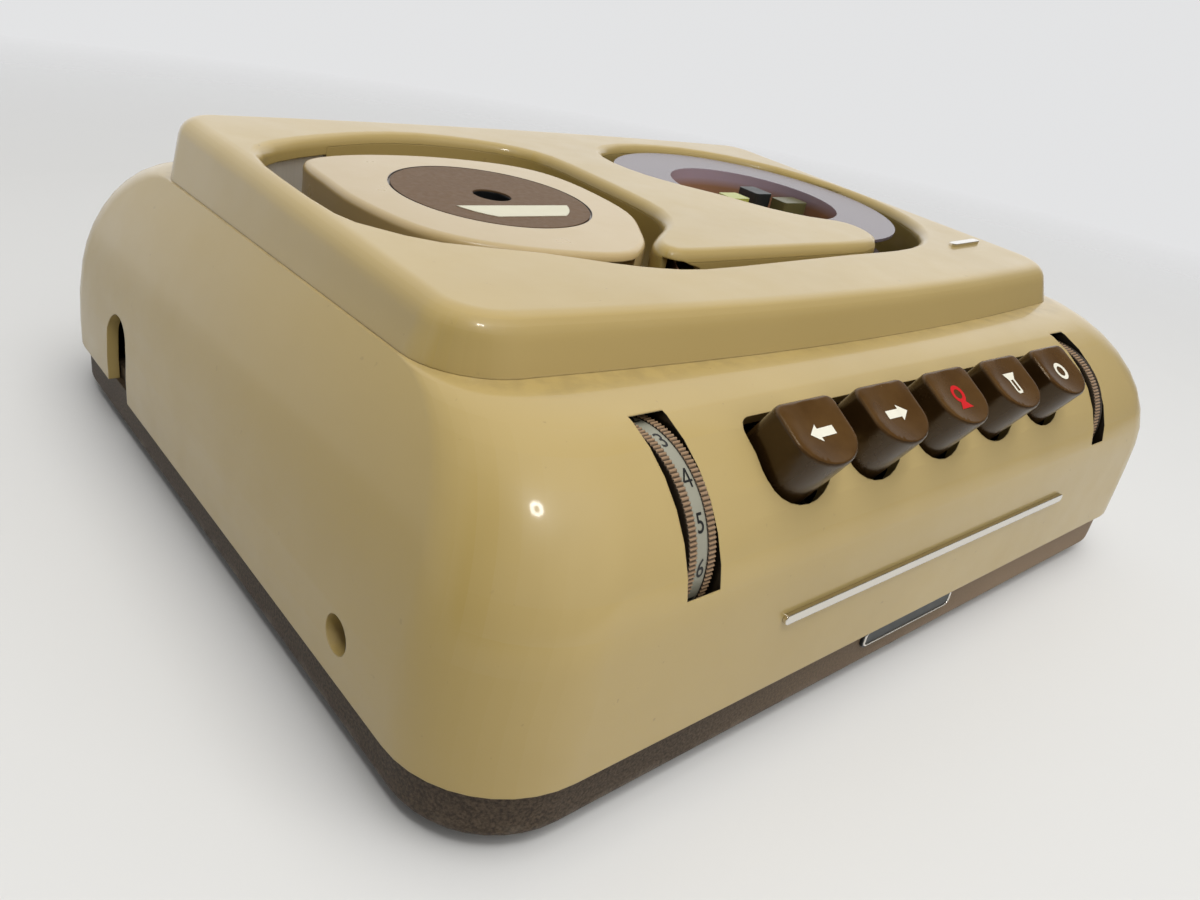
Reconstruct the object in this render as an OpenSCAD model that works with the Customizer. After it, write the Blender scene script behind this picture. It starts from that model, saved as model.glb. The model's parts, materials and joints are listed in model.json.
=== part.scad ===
// Reel-to-reel tape recorder with a tape cassette in its left well.
// Millimetres. Origin at the middle of the footprint on the table, +X right, +Y back, +Z up.

/* [Case] */
// Case width, left to right
case_w = 264; // [258:1:280]
// Case depth, front to back
case_d = 236; // [232:1:250]
// Height of the feet
foot_h = 3.5; // [3:0.5:6]
// Height of the base that shows below the shell
base_h = 12.5; // [11:0.5:15]
// Height of the shell from its lower edge to the crease
skirt_h = 58; // [56:0.5:64]
// Height from the crease to the top, at the middle
plateau_h = 13.5; // [12.5:0.5:16]
// Rise of the top to the back, in degrees
deck_tilt = 2.5; // [1.5:0.25:3]
// Wall of the shell
wall = 3; // [2.5:0.25:3.5]
// Corner radius of the shell in plan
case_r = 24; // [20:1:30]
// Radius of the front and back roll
roll_r = 33.5; // [32:0.5:36]
// Radius of the swell of the sides
side_r = 89; // [84:1:100]
// Radius of the rounded edge of the top
top_edge_r = 5.5; // [4:0.25:6]
// Radius of the rounded rim of the wells
rim_r = 3; // [2:0.25:3.5]
// Radius of the side hole
hole_r = 4; // [3:0.25:5]
// Width of the cable notch
notch_w = 17.5; // [14:0.5:20]
// Height of the cable notch above the lower edge of the shell
notch_h = 22; // [18:0.5:26]

/* [Keys] */
// Width of a key
key_w = 17.5; // [15:0.25:18.5]
// Length of a key face
key_l = 15; // [13:0.25:16]
// Spacing of the keys
key_pitch = 25; // [23:0.5:26]
// How far a key goes in
key_travel = 5; // [3:0.25:6]
// How far a key face stands out of the roll
key_proud = 8.4; // [7:0.2:9.5]
// Slope of a key face, in degrees
key_slope = 31; // [28:0.5:34]
// Side of the square key stem
stem_w = 8; // [7:0.25:8.5]

/* [Thumbwheels] */
// Radius of the thumbwheels
wheel_r = 20.5; // [19:0.25:21.5]
// How far a thumbwheel stands out of the roll
wheel_proud = 1; // [0.5:0.25:1.5]
// Width of the left thumbwheel
volume_w = 6.6; // [6:0.1:7]
// Width of the right thumbwheel
tone_w = 5.6; // [5:0.1:6]
// Radius of the thumbwheel shafts
pot_shaft_r = 3; // [2.5:0.25:3.5]
// Number of teeth of a knurl
knurl_teeth = 144; // [120:4:160]

/* [Tape] */
// Width of the tape
tape_w = 6.3; // [6:0.1:6.5]
// Thickness that the run of tape is drawn with
tape_t = 0.3; // [0.2:0.05:0.4]
// Radius of the tape pack in the cassette
supply_pack_r = 32; // [20:1:34]
// Radius of the tape pack on the take-up spool
takeup_pack_r = 36; // [34:0.5:40]
// Radius of the label on the cassette
label_r = 25.6; // [22:0.2:28]
// Radius of the flanges of the take-up spool
flange_r = 48; // [45:0.5:48.5]
// Radius of the cup of the take-up spool
cup_r = 30; // [27:0.5:32]

/* [Drive] */
// Radius of the flywheel
flywheel_r = 26; // [24:0.5:28]
// Radius of the motor pulley
motor_pulley_r = 6; // [4:0.25:8]
// Radius of the belt steps below the capstan
step_r = 8; // [7:0.25:9.5]
// Radius of the spindle pulleys
spindle_pulley_r = 20; // [16:0.5:21]
// Radius of the spindles
spindle_r = 4; // [3.5:0.25:4.25]
// Radius of the capstan
capstan_r = 2; // [1.5:0.1:2.5]
// Radius of the pinch roller
pinch_r = 4.5; // [3.8:0.1:4.7]
// Radius of the motor
motor_r = 25; // [22:0.5:26]

/* [Fits] */
// Running clearance of shafts in their bores, on the radius
run_fit = 0.05; // [0.03:0.01:0.08]
// Clearance between pieces that move past each other
gap = 0.4; // [0.35:0.05:0.5]
// Clearance of screws in their holes, on the radius
screw_fit = 0.1; // [0.05:0.05:0.2]

/* [Hidden] */
$fn = 64;

// Heights of the case
base_z = foot_h;
shell_z = base_z + base_h;
crease_z = shell_z + skirt_h;
top_z = crease_z + plateau_h;
floor_t = 3;
floor_z = base_z + floor_t;
half_w = case_w / 2;
half_d = case_d / 2;
roll_y = half_d - roll_r;
roll_z = crease_z - roll_r;
side_z = shell_z + 7;
lip_h = 4;
lip_fit = 0.5;
base_in = 2;
base_edge = 2.5;

// Plan of the plateau at the crease
plateau_side = 0.6;
plateau_front = 6;
plateau_back = 10.5;
plateau_front_bulge = 5.3;
plateau_back_bulge = 4;
plateau_front_r = 17;
plateau_back_r = 14;
draft = 2.2;
edge_span = 78;

// Heights in the deck frame, whose zero is the top
well_z = -21.5;
deck_top = -22;
deck_t = 2;
deck_bottom = deck_top - deck_t;
lid_t = 1.2;
tape_mid = -7.6;
tape_lo = tape_mid - tape_w / 2;
tape_hi = tape_mid + tape_w / 2;
skin = 3;
rim_drop = 5;

// Places in the deck frame
supply_x = -56.3;
supply_y = 0;
takeup_x = 54;
takeup_y = 7;
capstan_x = 12;
capstan_y = -31.5;
motor_x = 0;
motor_y = 48;
takeup_well_r = flange_r + 3;
well_wall = 2;

// Swell of the side and of the rolls: how far the case draws in at a height
function side_in(z, r) = z <= side_z ? 0 : r - sqrt(r * r - pow(z - side_z, 2));
function roll_in(z, r) = z <= roll_z ? 0 : r - sqrt(max(0, r * r - pow(z - roll_z, 2)));

// One closed outline in plan, anticlockwise: straight sides, round corners, front and back bulged
corner_n = 10;
bulge_n = 10;
function arc_pts(cx, cy, r, a0, a1, n) =
    [for (i = [0:n]) let (a = a0 + (a1 - a0) * i / n) [cx + r * cos(a), cy + r * sin(a)]];
function bulge_pts(x0, x1, y, b, n) =
    [for (i = [1:n - 1]) let (t = 2 * i / n - 1) [x0 + (x1 - x0) * i / n, y + b * (1 - t * t)]];
function plan_pts(a, yf, yb, rf, rb, bf, bb) = concat(
    arc_pts(a - rf, yf + rf, rf, -90, 0, corner_n),
    arc_pts(a - rb, yb - rb, rb, 0, 90, corner_n),
    bulge_pts(a - rb, rb - a, yb, bb, bulge_n),
    arc_pts(rb - a, yb - rb, rb, 90, 180, corner_n),
    arc_pts(rf - a, yf + rf, rf, 180, 270, corner_n),
    bulge_pts(rf - a, a - rf, yf, -bf, bulge_n));
function case_plan(d, z) = plan_pts(half_w - d - side_in(z, side_r - d), d + roll_in(z, roll_r - d) - half_d,
    half_d - d - roll_in(z, roll_r - d), case_r - d, case_r - d, 0, 0);
crease_half = half_w - side_in(crease_z, side_r) - plateau_side;
function plateau_plan(d) = plan_pts(crease_half - d, plateau_front + d - roll_y, roll_y - plateau_back - d,
    plateau_front_r - d, plateau_back_r - d, plateau_front_bulge, plateau_back_bulge);
function level(pts, z) = [for (p = pts) [p[0], p[1], z]];
function tilted(pts, drop) = [for (p = pts) [p[0], p[1], top_z + p[1] * tan(deck_tilt) - drop]];

// Solid through a stack of rings with as many points each
module loft(rings) {
    n = len(rings[0]);
    m = len(rings);
    points = [for (r = rings) for (p = r) p];
    sides = [for (k = [0:m - 2]) for (i = [0:n - 1]) let (j = (i + 1) % n)
        for (f = [[k * n + i, k * n + n + i, k * n + n + j], [k * n + i, k * n + n + j, k * n + j]]) f];
    // The caps start in the middle of a corner, so that no slice of them is flat
    cap = [for (i = [0:n - 1]) (i + floor(corner_n / 2)) % n];
    polyhedron(points, concat(sides, [cap], [[for (i = [0:n - 1]) (m - 1) * n + cap[n - 1 - i]]]));
}

// Closed ring-shaped solid through rings, the last of which joins the first
module loop_loft(rings) {
    n = len(rings[0]);
    m = len(rings);
    points = [for (r = rings) for (p = r) p];
    polyhedron(points, [for (k = [0:m - 1]) for (i = [0:n - 1]) let (j = (i + 1) % n, q = (k + 1) % m)
        for (f = [[k * n + i, q * n + i, q * n + j], [k * n + i, q * n + j, k * n + j]]) f]);
}

// Smooth closed curve through control points
function pick(pts, i) = pts[(i + len(pts)) % len(pts)];
function mid4(a, b, c, d, t) = 0.5 * (2 * b + (c - a) * t + (2 * a - 5 * b + 4 * c - d) * t * t
    + (3 * b - a - 3 * c + d) * t * t * t);
function smooth(pts, n) = [for (i = [0:len(pts) - 1]) for (k = [0:n - 1])
    mid4(pick(pts, i - 1), pick(pts, i), pick(pts, i + 1), pick(pts, i + 2), k / n)];

// Outline moved outward by d along its normals, for an anticlockwise outline
function unit(v) = v / norm(v);
function grow(pts, d) = [for (i = [0:len(pts) - 1])
    let (t = unit(pick(pts, i + 1) - pick(pts, i - 1))) pick(pts, i) + d * [t[1], -t[0]]];

module on_deck() {
    translate([0, 0, top_z]) rotate([deck_tilt, 0, 0]) children();
}

module on_key(i) {
    translate([key_x0 + i * key_pitch, key_face_y, key_face_z]) rotate([key_slope, 0, 0]) children();
}

module at_deck(x, y, z) {
    on_deck() translate([x, y, z]) children();
}

// Flat rectangle with round corners
module round_rect(w, l, r) {
    square([w - 2 * r, l], center = true);
    square([w, l - 2 * r], center = true);
    for (x = [-1, 1], y = [-1, 1]) translate([x * (w / 2 - r), y * (l / 2 - r)]) circle(r);
}

module tube(r, bore, h) {
    difference() {
        cylinder(r = r, h = h);
        translate([0, 0, -1]) cylinder(r = bore, h = h + 2);
    }
}

// Place of the keys on the front roll
key_angle = 48.8;
key_mid_x = -5;
key_x0 = key_mid_x - 2 * key_pitch;
key_face_y = -roll_y - (roll_r + key_proud) * cos(key_angle);
key_face_z = roll_z + (roll_r + key_proud) * sin(key_angle);
key_r = 2.2;
key_front = 6.5;
key_edge = 0.9;
key_depth = 22;
key_dish_r = 45;
key_side_gap = 1.5;
key_back_gap = 2.35;
band_l = 9;
band_r = 3.5;
frame_t = 3;
spring_l = 7;
frame_z = -key_depth - key_travel - spring_l - gap;
stem_l = -frame_z + frame_t + 3;

// Place of the thumbwheels on the front roll
wheel_angle = 42.25;
wheel_y = -roll_y - (roll_r + wheel_proud - wheel_r) * cos(wheel_angle);
wheel_z = roll_z + (roll_r + wheel_proud - wheel_r) * sin(wheel_angle);
volume_x = -84.8;
tone_x = 77.5;
wheel_side_gap = 0.85;
wheel_end_gap = 1.9;
band_w = 2.9;
band_drop = 0.4;
band_t = 1.5;
knurl_h = 0.35;
tone_knurl_w = 3.2;
tone_rim_r = wheel_r - knurl_h - 0.15;
pot_r = 8;
pot_l = 12;
pot_gap = 3;
pot_leg = 6;

// Screws and posts of the case
post_r = 5;
post_x = half_w - 14;
post_ys = [-45, 35];
post_h = 53;
screw_r = 1.6;
screw_head_r = 3.6;
screw_head_h = 2;
screw_l = 12;
foot_r = 9;
foot_x = half_w - 34;
foot_y = half_d - 32;

// Side hole and notch
hole_y = -75;
hole_z = shell_z + 10.4;
boss_l = 12;
boss_wall = 2;
notch_y = 60;

// Outline of the two wells and the channel before the head cover, anticlockwise
well_marks = [[-105, -16], [-100.5, -25], [-91.5, -34], [-72, -42], [-58, -50], [-48, -54.3], [-36, -56.5],
    [-10, -55.2], [25, -53], [50, -52], [70, -48], [87, -38], [99, -23], [104.5, -5], [104, 16], [97.5, 35],
    [84, 49], [67, 57], [46, 58.5], [29, 54.5], [18.5, 45.5], [15, 33], [17.5, 20], [23, 10.5], [31, 0.4],
    [39, -13], [48, -21], [57, -25.5], [60.5, -32], [57, -42], [45, -47], [20, -47.5], [-10, -47.5],
    [-28, -47.5], [-33.8, -46.4], [-35.8, -42.6], [-33.6, -37.6], [-27, -32], [-18, -25],
    [-11.5, -14], [-10, 0], [-10, 20], [-11, 37], [-17, 46.5], [-28, 53], [-45, 57], [-62, 55],
    [-79, 49], [-96, 40], [-104.5, 29], [-106, 8]];
well_pts = smooth(well_marks, 2);
rim_steps = 5;
rim_rise = 0.03;
rim_section = concat([[-0.6, -rim_r]],
    [for (i = [0:rim_steps]) let (a = 90 * i / rim_steps)
        [rim_r * (1 - cos(a)), rim_rise - rim_r * (1 - sin(a))]],
    [[rim_r, 2], [-0.6, 2]]);

// Skirt of the shell with the front and back roll, up to the crease
module skirt() {
    arc_n = 9;
    outer_zs = concat([shell_z, side_z, (side_z + roll_z) / 2],
        [for (i = [0:arc_n]) roll_z + roll_r * sin(90 * i / arc_n)]);
    inner_top = crease_z - wall;
    inner_zs = concat([shell_z, side_z, (side_z + roll_z) / 2],
        [for (i = [0:4]) roll_z + (roll_r - wall) * sin(90 * i / 4)]);
    loop_loft(concat(
        [level(plateau_plan(wall), inner_top)],
        [for (i = [len(inner_zs) - 1:-1:0]) level(case_plan(wall, inner_zs[i]), inner_zs[i])],
        [for (z = outer_zs) level(case_plan(0, z), z)],
        [level(plateau_plan(wall), crease_z)]));
}

// Raised plateau above the crease
module plateau() {
    edge_n = 5;
    loft(concat(
        [tilted(plateau_plan(wall + draft + 1), skin), level(plateau_plan(wall), crease_z),
            level(plateau_plan(0), crease_z)],
        [for (i = [0:edge_n]) let (a = edge_span * (1 - i / edge_n))
            tilted(plateau_plan(draft + top_edge_r * (sin(edge_span) - sin(a))),
                top_edge_r * (1 - cos(a)))]));
}

// Window in the front of the head cover's nose, where the tape comes in
nose_window = [[-37, -13.5], [-25.5, -13.5], [-25.5, -4.4], [-28.5, -3.6], [-31.5, -2.6], [-37, -2.4]];

module well_cut() {
    translate([0, 0, well_z - 1]) linear_extrude(3 - well_z) polygon(well_pts);
    loop_loft([for (s = rim_section) level(grow(well_pts, s[0]), s[1])]);
    translate([takeup_x, takeup_y, well_z - 1]) cylinder(r = takeup_well_r, h = 1 - well_z - lid_t);
    // Ways for the tape through the walls of the head cover
    translate([2, -45, well_z - 1]) cube([38, 20, 1 - well_z - skin - 0.2]);
    translate([0, -43.7, 0]) rotate([90, 0, 0]) linear_extrude(6) polygon(nose_window);
}

module well_collar(low, high) {
    translate([0, 0, low]) linear_extrude(high - low) polygon(grow(well_pts, well_wall));
    translate([takeup_x, takeup_y, low]) cylinder(r = takeup_well_r + well_wall, h = high - low);
}

// Outline of a key: straight at the back, round at the front like a tongue, drawn in by d
function key_pts(d) = let (c = key_front - key_l / 2) concat(
    [for (i = [0:12]) let (a = 180 + 15 * i) [(key_w / 2 - d) * cos(a), c + (key_front - d) * sin(a)]],
    arc_pts(key_w / 2 - key_r, key_l / 2 - key_r, key_r - d, 0, 90, 4),
    arc_pts(key_r - key_w / 2, key_l / 2 - key_r, key_r - d, 90, 180, 4));

module key_opening_flat() {
    back = key_l / 2 + key_back_gap;
    for (i = [0:4]) translate([i * key_pitch, 0]) polygon(key_pts(-key_side_gap));
    translate([2 * key_pitch, back - band_l / 2])
        round_rect(4 * key_pitch + key_w + 2 * key_side_gap, band_l, band_r);
}

module wheel_slot(x, w) {
    translate([x - w / 2 - wheel_side_gap, wheel_y, wheel_z]) rotate([0, 90, 0])
        cylinder(r = wheel_r + wheel_end_gap, h = w + 2 * wheel_side_gap);
}

module upper_shell() color("Tan") difference() {
    union() {
        skirt();
        translate([-half_w + 1, hole_y, hole_z]) rotate([0, 90, 0])
            cylinder(r = hole_r + boss_wall, h = boss_l - 1);
        for (x = [-1, 1], y = post_ys) translate([x * post_x, y, floor_z]) cylinder(r = post_r, h = post_h);
    }
    on_key(0) translate([0, 0, -24]) linear_extrude(40) key_opening_flat();
    wheel_slot(volume_x, volume_w);
    wheel_slot(tone_x, tone_w);
    translate([-half_w - 5, hole_y, hole_z]) rotate([0, 90, 0]) cylinder(r = hole_r, h = boss_l + 6);
    translate([-half_w - 5, notch_y, shell_z + notch_h - notch_w / 2]) {
        rotate([0, 90, 0]) cylinder(r = notch_w / 2, h = 15);
        translate([0, -notch_w / 2, -notch_h]) cube([15, notch_w, notch_h]);
    }
    for (x = [-1, 1], y = post_ys) translate([x * post_x, y, floor_z - 1])
        cylinder(r = screw_r + screw_fit, h = screw_l + 2);
}

module top_cover() color("Tan") difference() {
    union() {
        plateau();
        on_deck() intersection() {
            well_collar(-rim_drop, -1);
            edge_zone();
        }
    }
    on_deck() well_cut();
}

// Zone at the back left of the cassette well, where the metal deck edge stands below the rim
edge_end = [-78, -4];
module edge_zone() translate([-half_w, edge_end[1], -top_z]) cube([half_w + edge_end[0], half_d, top_z]);

// Walls of the wells below the top
module well_walls() color("Tan") on_deck() difference() {
    well_collar(well_z, -skin);
    well_cut();
    edge_zone();
}

module base_tray() color("DimGray") difference() {
    lip = wall + lip_fit;
    lip_t = 2.5;
    edge_n = 4;
    loft(concat(
        [for (i = [0:edge_n]) let (a = 88 * (1 - i / edge_n))
            level(case_plan(base_in + base_edge * (1 - cos(a)), shell_z), base_z + base_edge * (1 - sin(a)))],
        [level(case_plan(base_in, shell_z), shell_z), level(case_plan(lip, shell_z), shell_z),
            level(case_plan(lip, shell_z), shell_z + lip_h),
            level(case_plan(lip + lip_t, shell_z), shell_z + lip_h),
            level(case_plan(lip + lip_t + 1, shell_z), floor_z)]));
    for (x = [-1, 1], y = post_ys) translate([x * post_x, y, base_z]) {
        translate([0, 0, -1]) cylinder(r = screw_head_r + screw_fit, h = screw_head_h + 1);
        cylinder(r = screw_r + screw_fit, h = floor_t + 1);
    }
}

module rubber_feet() color("Black")
    for (x = [-1, 1], y = [-1, 1]) translate([x * foot_x, y * foot_y, 0]) cylinder(r = foot_r, h = foot_h);

module case_screws() color("Silver")
    for (x = [-1, 1], y = post_ys) translate([x * post_x, y, base_z]) {
        cylinder(r = screw_head_r, h = screw_head_h);
        cylinder(r = screw_r, h = floor_t + screw_l);
    }

// Plain bright bar on the front, a small one on the plateau and a blank plate on the base
trim_l = case_w - 142;
trim_w = 2.2;
trim_z = shell_z + 18;
deck_trim_l = 19;
deck_trim_w = 2.4;
deck_trim_at = [half_w - 41, -52];
plate_l = 39;
plate_w = base_h - 7.3;

module front_trim() color("Silver") translate([2, -half_d, trim_z]) rotate([90, 0, 0])
    linear_extrude(1) round_rect(trim_l, trim_w, trim_w / 2 - 0.05);

module deck_trim() color("Silver") at_deck(deck_trim_at[0], deck_trim_at[1], 0) rotate([0, 0, 6])
    linear_extrude(0.9) round_rect(deck_trim_l, deck_trim_w, deck_trim_w / 2 - 0.1);

module plate_blank() color("Black") translate([0.5, base_in - half_d, shell_z - 3.1]) rotate([90, 0, 0])
    linear_extrude(0.8) round_rect(plate_l, plate_w, 1.5);

// Deck plate and its posts
deck_half = half_w - 22;
deck_front = -70;
deck_back = 76;
post_front = [deck_half - 12, -60];
post_back = [deck_half - 7, 60];
deck_posts_at = [[-post_front[0], post_front[1]], post_front, [-post_back[0], post_back[1]], post_back];
bearing_r = 6;
capstan_bearing_r = 5;
flange_t = 1.5;
bearing_flange_r = 9;
bearing_l = 6;
deck_screw_r = 1.5;
deck_screw_head_r = 3.4;
deck_screw_head_h = 1.8;
deck_screw_l = 10;

module deck_plate() color("LightGray") on_deck() difference() {
    translate([0, (deck_front + deck_back) / 2, deck_bottom]) linear_extrude(deck_t)
        round_rect(2 * deck_half, deck_back - deck_front, 8);
    for (p = [[supply_x, supply_y], [takeup_x, takeup_y]]) translate([p[0], p[1], deck_bottom - 1])
        cylinder(r = bearing_r + screw_fit, h = deck_t + 2);
    translate([capstan_x, capstan_y, deck_bottom - 1])
        cylinder(r = capstan_bearing_r + screw_fit, h = deck_t + 2);
    for (p = deck_posts_at) translate([p[0], p[1], deck_bottom - 1])
        cylinder(r = deck_screw_r + screw_fit, h = deck_t + 2);
}

// Upturned metal edge of the deck, behind the rim of the cassette well
module deck_edge() color("LightGray") on_deck() translate([0, 0, deck_top])
    linear_extrude(-rim_drop - gap - deck_top) intersection() {
        difference() {
            polygon(grow(well_pts, well_wall + 1));
            polygon(grow(well_pts, 1));
        }
        translate([-half_w, edge_end[1] + gap]) square([half_w + edge_end[0] - gap, half_d]);
    }

module deck_posts() color("Silver") for (p = deck_posts_at) difference() {
    translate([p[0], p[1] * cos(deck_tilt) - deck_bottom * sin(deck_tilt), floor_z])
        cylinder(r = post_r, h = top_z);
    at_deck(p[0], p[1], deck_bottom) translate([-2 * post_r, -2 * post_r, 0])
        cube([4 * post_r, 4 * post_r, top_z]);
    at_deck(p[0], p[1], deck_bottom - deck_screw_l - 1)
        cylinder(r = deck_screw_r + screw_fit, h = deck_screw_l + 2);
}

module deck_screws() color("Silver") for (p = deck_posts_at) at_deck(p[0], p[1], deck_top) {
    cylinder(r = deck_screw_head_r, h = deck_screw_head_h);
    translate([0, 0, -deck_t - deck_screw_l]) cylinder(r = deck_screw_r, h = deck_t + deck_screw_l + 0.5);
}

// Bearings hang below the deck on a flange
module bearing(x, y, r, bore) {
    at_deck(x, y, deck_bottom - bearing_l) tube(r, bore, bearing_l + deck_t + gap);
    at_deck(x, y, deck_bottom - flange_t) tube(bearing_flange_r, r - 0.5, flange_t);
}

module deck_bearings() color("Goldenrod") {
    bearing(supply_x, supply_y, bearing_r, spindle_r + run_fit);
    bearing(takeup_x, takeup_y, bearing_r, spindle_r + run_fit);
    bearing(capstan_x, capstan_y, capstan_bearing_r, capstan_r + run_fit);
}

// Heights of the drive, below the deck
drive_top = deck_bottom - bearing_l - gap;
pulley_t = 3.2;
rewind_mid = drive_top - pulley_t / 2;
takeup_mid = rewind_mid - pulley_t - gap;
step_l = 2 * pulley_t + 2 * gap;
flywheel_t = 7.4;
flywheel_top = drive_top - step_l;
collar_t = 1.2;
collar_z = deck_top + 2 * gap;
spindle_top = -7;

// Cassette with its hub and tape
cassette_marks = [[-96, 13], [-96, -3], [-91.5, -22], [-82.5, -33], [-68, -40.5], [-49, -44.5],
    [-36.8, -38.4], [-28.2, -27.8], [-20.5, -14], [-18.6, 5], [-21, 20], [-28.5, 29.5], [-42, 35],
    [-58, 37.5], [-76, 36.5], [-90, 32], [-95, 26]];
cassette_pts = smooth(cassette_marks, 4);
cassette_bottom = deck_top + gap;
cassette_top = -1;
cassette_split = -12;
cassette_edge = 1.9;
cassette_skin = 2.2;
reel_room_r = 34.5;
label_t = 0.5;
label_fit = 0.5;
hub_r = 11;
hub_hole_r = 5;
floor_hole_r = 8;
strip_t = 0.15;

function cassette_ring(d, z) = level(grow(cassette_pts, -d), z);

module cassette_body() color("Wheat") on_deck() difference() {
    loft([cassette_ring(1, cassette_bottom), cassette_ring(0, cassette_bottom + 1),
        cassette_ring(0, cassette_split)]);
    translate([supply_x, supply_y, cassette_bottom + cassette_skin]) cylinder(r = reel_room_r, h = 20);
    translate([supply_x, supply_y, cassette_bottom - 1]) cylinder(r = floor_hole_r, h = 20);
}

module cassette_lid() color("Wheat") on_deck() difference() {
    edge_n = 5;
    loft(concat([cassette_ring(0, cassette_split), cassette_ring(0, cassette_top - cassette_edge)],
        [for (i = [1:edge_n]) let (a = 88 * i / edge_n)
            cassette_ring(cassette_edge * (1 - cos(a)), cassette_top - cassette_edge * (1 - sin(a)))]));
    translate([supply_x, supply_y, cassette_split - 1])
        cylinder(r = reel_room_r, h = cassette_top - cassette_split + 1 - cassette_skin - label_t);
    translate([supply_x, supply_y, cassette_split]) cylinder(r = hub_hole_r, h = 20);
    translate([supply_x, supply_y, cassette_top - label_t]) cylinder(r = label_r + label_fit, h = 5);
    // Way out for the tape
    translate([-57, -52, tape_lo - 0.5]) cube([13.3, 22, tape_w + 2]);
}

module cassette_label() color("RosyBrown") at_deck(supply_x, supply_y, cassette_top - label_t)
    tube(label_r, hub_hole_r, label_t);

// White writing strip across the label in front of the hub
strip_back = -6.4;
strip_front = -14.8;
strip_r = label_r - 7.6;
strip_x = 0.8;
strip_y = -2.5;
module label_strip() color("White") at_deck(supply_x + strip_x, supply_y + strip_y, cassette_top)
    linear_extrude(strip_t) intersection() {
        circle(r = strip_r);
        translate([-label_r, strip_front]) square([2 * label_r, strip_back - strip_front]);
    }

module supply_hub() color("Gray") at_deck(supply_x, supply_y, cassette_bottom + cassette_skin + gap)
    tube(hub_r, spindle_r + gap, cassette_top - cassette_bottom - 2 * cassette_skin - label_t - 2 * gap);

module supply_tape() color("SaddleBrown") at_deck(supply_x, supply_y, tape_lo)
    tube(supply_pack_r, hub_r + run_fit, tape_w);

module supply_spindle() color("Silver") {
    at_deck(supply_x, supply_y, drive_top - pulley_t)
        cylinder(r = spindle_r, h = spindle_top - drive_top + pulley_t);
    at_deck(supply_x, supply_y, drive_top - pulley_t) cylinder(r = spindle_pulley_r, h = pulley_t);
    at_deck(supply_x, supply_y, collar_z) cylinder(r = bearing_r + 0.5, h = collar_t);
}

// Take-up spool: two clear flanges on a cup, brown floor, tape pack and three blocks on the floor
spool_top = -lid_t - gap;
spool_t = 1;
spool_bottom = -13.5;
cup_t = 1.5;
floor_disc_t = 1.2;
block_top = -4;
block_base = spool_bottom + spool_t + floor_disc_t;

module takeup_spool() color("Thistle", 0.6) at_deck(takeup_x, takeup_y, 0) {
    translate([0, 0, spool_top - spool_t]) tube(flange_r, cup_r - cup_t, spool_t);
    translate([0, 0, spool_bottom]) tube(cup_r, cup_r - cup_t, spool_top - spool_bottom - spool_t / 2);
    translate([0, 0, spool_bottom]) tube(flange_r, spindle_r + run_fit, spool_t);
}

module takeup_floor() color("Sienna") at_deck(takeup_x, takeup_y, spool_bottom + spool_t)
    cylinder(r = cup_r - cup_t - run_fit, h = floor_disc_t);

module takeup_tape() color("SaddleBrown") at_deck(takeup_x, takeup_y, tape_lo)
    tube(takeup_pack_r, cup_r + run_fit, tape_w);

module hub_block_green() color("OliveDrab") at_deck(takeup_x - 3.8, takeup_y + 4.5, block_base)
    linear_extrude(block_top - block_base) round_rect(9, 7, 1);

module hub_block_dark() color("Black") at_deck(takeup_x + 10.3, takeup_y + 7.6, block_base)
    linear_extrude(block_top - block_base + 1) round_rect(8, 9, 1);

module hub_block_olive() color("DarkOliveGreen") at_deck(takeup_x + 20, takeup_y - 0.4, block_base)
    linear_extrude(block_top - block_base) round_rect(12, 7, 1);

module takeup_spindle() color("Silver") {
    at_deck(takeup_x, takeup_y, takeup_mid - pulley_t / 2)
        cylinder(r = spindle_r, h = spool_bottom + spool_t - takeup_mid + pulley_t / 2);
    at_deck(takeup_x, takeup_y, takeup_mid - pulley_t / 2) cylinder(r = spindle_pulley_r, h = pulley_t);
    at_deck(takeup_x, takeup_y, collar_z) cylinder(r = bearing_r + 0.5, h = spool_bottom - collar_z);
}

// Capstan, flywheel, motor and belts
capstan_top = -3.8;
motor_shaft_r = 2.5;
motor_l = 32;
motor_top = -46;
motor_post_r = 3;
motor_post_at = 21;
motor_pulley_l = 6;
belt_t = 1;
belt_w = 2.4;
belt_fit = 0.3;

module capstan_shaft() color("Silver") {
    at_deck(capstan_x, capstan_y, flywheel_top - flywheel_t)
        cylinder(r = capstan_r, h = capstan_top - flywheel_top + flywheel_t);
    at_deck(capstan_x, capstan_y, collar_z) cylinder(r = capstan_bearing_r - 1, h = collar_t);
}

module flywheel() color("DimGray") at_deck(capstan_x, capstan_y, flywheel_top - flywheel_t) difference() {
    union() {
        cylinder(r = flywheel_r, h = flywheel_t);
        cylinder(r = step_r, h = flywheel_t + step_l);
    }
    translate([0, 0, -1]) cylinder(r = capstan_r + run_fit, h = flywheel_t + step_l + 2);
}

// Band round two pulleys
function belt_pts(p, rp, q, rq) = let (d = q - p, w = norm(d), a = atan2(d[1], d[0]), b = acos((rp - rq) / w))
    concat(arc_pts(p[0], p[1], rp, a + b, a + 360 - b, 24), arc_pts(q[0], q[1], rq, a - b, a + b, 24));

module belt(p, rp, q, rq, z) color("Black") at_deck(0, 0, z - belt_w / 2)
    linear_extrude(belt_w) difference() {
    polygon(belt_pts(p, rp + belt_fit + belt_t, q, rq + belt_fit + belt_t));
    polygon(belt_pts(p, rp + belt_fit, q, rq + belt_fit));
}

capstan_at = [capstan_x, capstan_y];
flywheel_mid = flywheel_top - flywheel_t / 2;

module drive_belt() belt([motor_x, motor_y], motor_pulley_r, capstan_at, flywheel_r, flywheel_mid);

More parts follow.
